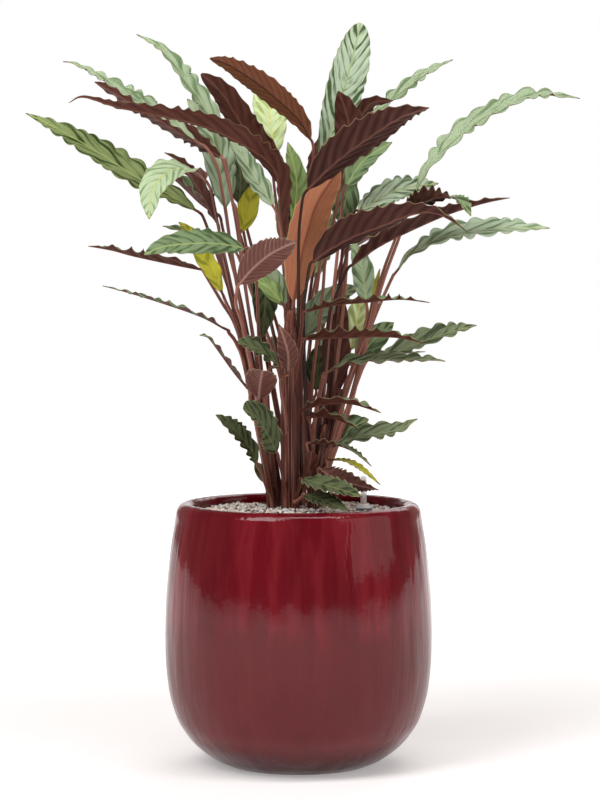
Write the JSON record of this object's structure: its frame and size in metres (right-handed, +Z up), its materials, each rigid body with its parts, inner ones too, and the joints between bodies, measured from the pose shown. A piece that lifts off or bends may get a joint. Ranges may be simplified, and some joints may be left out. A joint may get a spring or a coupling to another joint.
{
  "type": "potted foliage plant",
  "caption": "Potted velvet calathea with long wavy leaves on reddish stalks, in a glossy dark red pot of gravel with a water level gauge.",
  "frame": {"origin": "centre of the flat underside of the pot", "axes": "+Z up out of the pot, -Y towards the viewer of the picture, +X to the right of the picture"},
  "size_m": [0.5618, 0.414, 0.7492],
  "materials": {
    "glaze": "glossy dark red glaze",
    "pumice": "matt pale gravel",
    "stalk": "satin reddish brown stalk",
    "blade_green": "velvety green leaf",
    "blade_pale": "velvety silvery green leaf",
    "blade_dark": "velvety dark green leaf",
    "blade_yellow": "yellow green leaf",
    "blade_young": "young salmon leaf",
    "clear_tube": "clear tube",
    "grey_collar": "pale grey plastic",
    "orange_float": "orange plastic"
  },
  "bodies": {
    "root": {"pot": "glaze", "substrate": "pumice", "gauge_tube": "clear_tube", "gauge_collar": "grey_collar", "gauge_float": "orange_float", "shoot_centre": "stalk", "shoot_centre_back": "stalk", "shoot_left_front": "stalk", "shoot_left_back": "stalk", "shoot_right_front": "stalk", "shoot_right_back": "stalk", "shoot_back": "stalk", "leaf_left_01": "blade_green", "leaf_left_02": "blade_pale", "leaf_left_03": "blade_pale", "leaf_left_04": "blade_green", "leaf_left_05": "blade_pale", "leaf_left_06": "blade_green", "leaf_left_07": "blade_green", "leaf_left_08": "blade_green", "leaf_left_09": "blade_yellow", "leaf_left_10": "blade_green", "leaf_left_11": "blade_green", "leaf_left_12": "blade_pale", "leaf_left_13": "blade_dark", "leaf_left_14": "blade_pale", "leaf_left_15": "blade_green", "leaf_top_01": "blade_pale", "leaf_top_02": "blade_green", "leaf_top_03": "blade_green", "leaf_top_04": "blade_green", "leaf_top_05": "blade_young", "leaf_right_01": "blade_pale", "leaf_right_02": "blade_pale", "leaf_right_03": "blade_green", "leaf_right_04": "blade_green", "leaf_right_05": "blade_pale", "leaf_right_06": "blade_green", "leaf_right_07": "blade_green", "leaf_right_08": "blade_green", "leaf_right_09": "blade_pale", "leaf_right_10": "blade_green", "leaf_right_11": "blade_green", "leaf_right_12": "blade_green", "leaf_right_13": "blade_green", "leaf_right_14": "blade_green", "leaf_right_15": "blade_green", "leaf_right_16": "blade_pale", "leaf_mid_01": "blade_green", "leaf_mid_02": "blade_green", "leaf_mid_03": "blade_green", "leaf_mid_04": "blade_green", "leaf_mid_05": "blade_green", "leaf_mid_06": "blade_dark", "leaf_mid_07": "blade_green", "leaf_mid_08": "blade_green", "leaf_mid_09": "blade_dark", "leaf_mid_10": "blade_dark", "leaf_front_01": "blade_green", "leaf_front_02": "blade_green"}
  },
  "joints": []
}
